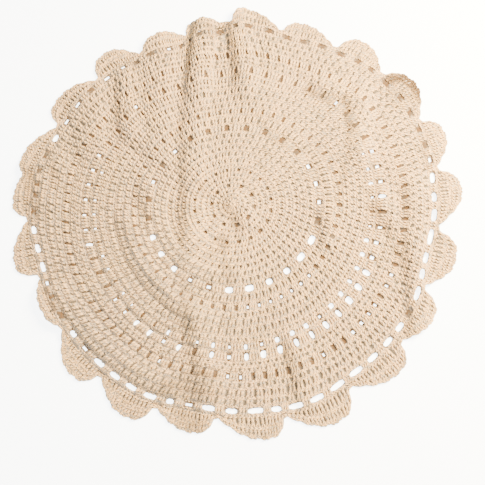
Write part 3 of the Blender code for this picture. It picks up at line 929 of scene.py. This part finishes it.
# %% Sums of sockets
class Wire:
    """An output of a node. Python's arithmetic on it adds Math nodes."""

    def __init__(self, socket):
        self.socket = socket

    def math(self, operation, *others, swap=False):
        """A Math node of this value and others, in the other order if swapped."""
        node = self.socket.id_data.nodes.new("ShaderNodeMath")
        node.operation = operation
        values = (self,) + others
        for place, value in enumerate(reversed(values) if swap else values):
            connect(node.inputs[place], value)
        return Wire(node.outputs[0])

    def __add__(self, other):
        return self.math("ADD", other)

    def __mul__(self, other):
        return self.math("MULTIPLY", other)

    def __sub__(self, other):
        return self.math("SUBTRACT", other)

    def __rsub__(self, other):
        return self.math("SUBTRACT", other, swap=True)

    __radd__ = __add__
    __rmul__ = __mul__

    def sin(self):
        """The sine of this value in radians."""
        return self.math("SINE")

    def held(self):
        """This value held between 0 and 1."""
        return self.math("MAXIMUM", 0.0).math("MINIMUM", 1.0)


def connect(socket, value):
    """Links a wire to a socket, or sets the socket's own value."""
    if isinstance(value, Wire):
        socket.id_data.links.new(value.socket, socket)
    else:
        socket.default_value = value


# %% A material
# The specular level of every finish here.
DULL = 0.2


class Finish:
    """A material being made: its Principled shader, and a method that adds any node."""

    def __init__(self, name, rough, sheen):
        self.material = bpy.data.materials.new(name)
        self.material.use_nodes = True
        self.shader = self.material.node_tree.nodes["Principled BSDF"]
        self.shader.inputs["Roughness"].default_value = rough
        self.shader.inputs["Sheen Weight"].default_value = sheen
        self.shader.inputs["Specular IOR Level"].default_value = DULL

    def add(self, kind, settings, inputs, output=0):
        """A node of a kind, its settings set first, then its inputs' values or links."""
        node = self.material.node_tree.nodes.new("ShaderNode" + kind)
        for key, value in settings.items():
            setattr(node, key, value)
        for key, value in inputs.items():
            connect(node.inputs[key], value)
        return Wire(node.outputs[output])

    def noise(self, size, detail=2.0):
        """Noise with spots of about size mm, on the object's own coordinates."""
        place = self.add("TexCoord", {}, {}, "Object")
        return self.add("TexNoise", {}, {"Vector": place, "Scale": 1.0 / (size * MM),
                                         "Detail": detail})

    def spots(self, size, gain, less, detail=2.0):
        """Share of soft spots of about size mm: noise x gain - less, held between 0 and 1."""
        return (self.noise(size, detail) * gain - less).held()

    def kept(self, name):
        """A value that the mesh keeps for each of its points."""
        return self.add("Attribute", {"attribute_name": name}, {}, "Fac")

    def mix(self, share, first, second):
        """Colour between two others, by a share."""
        settings = {"data_type": "RGBA"}
        return self.add("Mix", settings, {0: share, 6: first, 7: second}, 2)

    def look(self, name, value):
        """Feeds a socket of the shader."""
        connect(self.shader.inputs[name], value)


# %% [markdown]
# ## The yarn's finish
#
# Up close the plies of the yarn wind round it, fibres stand off them and every strand is a little
# different. Real plies would need ten times the mesh, so they are a wave along the strand's own
# map, which bumps it and paints shade in the grooves between them. The colour is built up from
# wide patches to small specks, then painted shade between strands and in valleys, and painted
# shade along folds goes over everything.

# %% Yarn
CREAM = (0.77, 0.525, 0.235, 1.0)
PINK = (0.76, 0.505, 0.25, 1.0)
BUFF = (0.38, 0.265, 0.115, 1.0)
# Painted shade: grey between strands, in valleys, in the plies' grooves and the grain; tan along
# folds.
SHADE = (0.28, 0.265, 0.24, 1.0)
FOLD_SHADE_COLOUR = (0.12, 0.075, 0.036, 1.0)
# The most that each darker colour takes, as a share.
SPECK_MOST = 0.75
TONE_MOST = 0.15
GRAIN_MOST = 0.9
VALLEY_MOST = 0.8
FOLD_SHADE_MOST = 0.53
# What the grain's spots add to it and the light side of the plies takes off it, the shade at the
# middle of the fabric, and what comes off that for each mm of crest.
GRAIN_SPOTS = 0.75
GRAIN_PLIES = 0.5
BETWEEN_MOST = 0.75
BETWEEN_FADE = 1.2
# How often a ply comes by: round the strand, and in each girth's length along it.
PLIES_ROUND = 2.0
PLIES_ALONG = 1.4
# The bump's depth in mm, and the plies' and the fuzz's part in it.
YARN_BUMP = 0.45
PLIES_HIGH = 0.6
FUZZ_HIGH = 0.8


def yarn_finish():
    """Cream cotton yarn with a visible twist of its plies.

    The plies are sin(2 pi (PLIES_ROUND round + PLIES_ALONG along)). The grain is spots less the
    plies, so the plies' grooves get painted shade, and the painted shade between strands is gone
    from a crest of about 0.6 mm.
    """
    finish = Finish("cotton_yarn", rough=0.92, sheen=0.1)
    patch = finish.spots(size=38.0, gain=2.6, less=0.8)
    speck = finish.spots(size=5.0, gain=5.0, less=2.5)
    colour = finish.mix(patch, CREAM, PINK)
    colour = finish.mix(speck * SPECK_MOST + finish.kept("tone") * TONE_MOST, colour, BUFF)
    strand = finish.add("UVMap", {"uv_map": "strand"}, {})
    parts = finish.add("SeparateXYZ", {}, {"Vector": strand})
    along = Wire(parts.socket.node.outputs[1])
    plies = ((parts * PLIES_ROUND + along * PLIES_ALONG) * (2.0 * math.pi)).sin()
    grain = finish.spots(size=2.3, gain=8.0, less=3.7, detail=1.0)
    # The plies' grooves get painted shade; the spots are random grain.
    grain = (grain * GRAIN_SPOTS - plies * GRAIN_PLIES).held()
    colour = finish.mix(grain * GRAIN_MOST, colour, SHADE)
    # Painted shade between strands, and in the valleys of the bunched rounds.
    between = (BETWEEN_MOST - finish.kept("crest") * BETWEEN_FADE).held()
    colour = finish.mix(between, colour, SHADE)
    colour = finish.mix(finish.kept("valley") * VALLEY_MOST, colour, SHADE)
    # Painted shade along folds, tan.
    colour = finish.mix(finish.kept("fold_shade") * FOLD_SHADE_MOST, colour, FOLD_SHADE_COLOUR)
    finish.look("Base Color", colour)
    height = plies * PLIES_HIGH + finish.noise(size=0.5) * FUZZ_HIGH
    bump = {"Strength": 1.0, "Distance": YARN_BUMP * MM, "Height": height}
    finish.look("Normal", finish.add("Bump", {}, bump))
    return finish.material


yarn = yarn_finish()
for piece in pieces:
    piece.data.materials.append(yarn)
print("yarn on", len(pieces), "pieces, nodes:", len(yarn.node_tree.nodes))

# %% [markdown]
# ## The ground's finish
#
# What shows between the posts is painted shade: lighter under the middle of a group, where feet
# and loops cross, and dark in the slit between two groups. The ground's map counts the repeats of
# each round, so the dark comes by once a repeat however many a round has. Two noises break it up,
# or every dot would be the same.

# %% Ground
# Painted shade: in the hollow behind the posts, in a shut eyelet's pit, and in the slit between
# groups.
HOLLOW_SHADE_COLOUR = (0.40, 0.33, 0.24, 1.0)
PIT_SHADE_COLOUR = (0.10, 0.058, 0.028, 1.0)
SLIT_SHADE_COLOUR = (0.09, 0.078, 0.06, 1.0)
# The share of painted slit shade at the gap itself, and what comes off it for each repeat's
# distance, in a clump of fibres and where the yarn is felted. Then what a clump takes off a pit's
# painted shade, and the bump's depth in mm.
SLIT_SHADE_MOST = 1.8
OFF_GAP = 5.0
CLUMP_LIGHT = 0.4
FELT_LIGHT = 0.25
PIT_CLUMP = 0.85
GROUND_BUMP = 0.3


def ground_finish():
    """Painted shade of the stitches' backs: light under a group of posts, dark between two groups.

    Under painted fold shade the light part is darker, and in a pit all of it is, but for the clumps.
    The distance from the gap, as a share of a repeat, is |fraction of (repeat + 1/2) - 1/2|.
    """
    finish = Finish("cotton_ground_painted_shade", rough=0.95, sheen=0.0)
    repeat = finish.add("UVMap", {"uv_map": "repeat"}, {})
    parts = finish.add("SeparateXYZ", {}, {"Vector": repeat})
    off_gap = ((parts + 0.5).math("FRACT") - 0.5).math("ABSOLUTE")
    # Painted shade of the stitches' backs, darker under painted fold shade.
    colour = finish.mix(finish.kept("fold_shade"), HOLLOW_SHADE_COLOUR, SHADE)
    clump = finish.spots(size=2.2, gain=5.0, less=2.1)
    felt = finish.spots(size=9.0, gain=4.0, less=1.6)
    # Painted shade in the slit between two groups, lighter in clumps and felt.
    slit_shade = SLIT_SHADE_MOST - off_gap * OFF_GAP - clump * CLUMP_LIGHT - felt * FELT_LIGHT
    colour = finish.mix(slit_shade.held(), colour, SLIT_SHADE_COLOUR)
    # Painted shade in a shut eyelet's pit, but for the clumps.
    deep = finish.kept("pit") * (1.0 - clump * PIT_CLUMP)
    finish.look("Base Color", finish.mix(deep, colour, PIT_SHADE_COLOUR))
    bump = {"Strength": 0.8, "Distance": GROUND_BUMP * MM, "Height": finish.noise(size=0.9)}
    finish.look("Normal", finish.add("Bump", {}, bump))
    return finish.material


ground.data.materials.append(ground_finish())
print("materials:", [material.name for material in bpy.data.materials])

# %% [markdown]
# ## Table, light and camera
#
# The doily lies on a plain pale surface. A surface that is only lit comes out grey beside the
# photo's white, so this one glows a little too. A soft warm light from the right, and a little from
# the far side, shades one wall of every gap between posts, and a pale sky fills the rest. The
# camera looks down from just below the middle, tilted by about 17 degrees, which draws the far
# side a little smaller.

# %% Floor
# Its width in metres, its colour, and the colour and strength of its glow.
FLOOR_WIDE = 3.0
FLOOR_COLOUR = (0.72, 0.86, 0.98, 1.0)
FLOOR_GLOW = (0.98, 0.99, 1.0, 1.0)
FLOOR_BRIGHT = 6.0
mesh = bpy.data.meshes.new("floor")
half = 0.5 * FLOOR_WIDE
mesh.from_pydata([(-half, -half, 0), (half, -half, 0), (half, half, 0), (-half, half, 0)], [],
                 [(0, 1, 2, 3)])
floor = bpy.data.objects.new("floor", mesh)
bpy.context.scene.collection.objects.link(floor)
paper = Finish("pale_floor", rough=0.9, sheen=0.0)
paper.look("Base Color", FLOOR_COLOUR)
paper.look("Emission Color", FLOOR_GLOW)
paper.look("Emission Strength", FLOOR_BRIGHT)
mesh.materials.append(paper.material)
print("floor, m wide:", FLOOR_WIDE)

# %% Light
# Where the light is and its size in metres, its watts, and the sky's strength.
KEY_FROM = Vector((0.433, 0.175, 0.41))
KEY_SIZE = 0.28
KEY_POWER = 42.0
KEY_COLOUR = (1.0, 0.735, 0.41)
SKY = 2.0
SKY_COLOUR = (1.0, 0.95, 0.89, 1.0)

data = bpy.data.lights.new("key", "AREA")
data.size = KEY_SIZE
data.energy = KEY_POWER
data.color = KEY_COLOUR
light = bpy.data.objects.new("key", data)
light.location = KEY_FROM
light.rotation_euler = KEY_FROM.to_track_quat("Z", "Y").to_euler()
bpy.context.scene.collection.objects.link(light)
world = bpy.data.worlds.new("sky")
bpy.context.scene.world = world
world.use_nodes = True
background = world.node_tree.nodes["Background"]
background.inputs["Color"].default_value = SKY_COLOUR
background.inputs["Strength"].default_value = SKY
print("key light, m away:", round(KEY_FROM.length, 2))

# %% Camera
# Where it is and what it looks at, then its lens, as a distance in pixels of a frame this wide.
EYE = Vector((66.16, -217.57, 617.77)) * MM
AIM = Vector((9.53, -31.0, 0.0)) * MM
FOCAL_PIXELS = 771.2
FRAME_PIXELS = 485
SENSOR_WIDE = 36.0

data = bpy.data.cameras.new("camera")
data.sensor_width = SENSOR_WIDE
data.lens = SENSOR_WIDE * FOCAL_PIXELS / FRAME_PIXELS
camera = bpy.data.objects.new("camera", data)
back = (EYE - AIM).normalized()
right = Vector((0.0, 1.0, 0.0)).cross(back).normalized()
turn = Matrix((right, back.cross(right), back)).transposed()
camera.matrix_world = Matrix.Translation(EYE) @ turn.to_4x4()
bpy.context.scene.collection.objects.link(camera)
bpy.context.scene.camera = camera
print("lens, mm:", round(data.lens, 2))
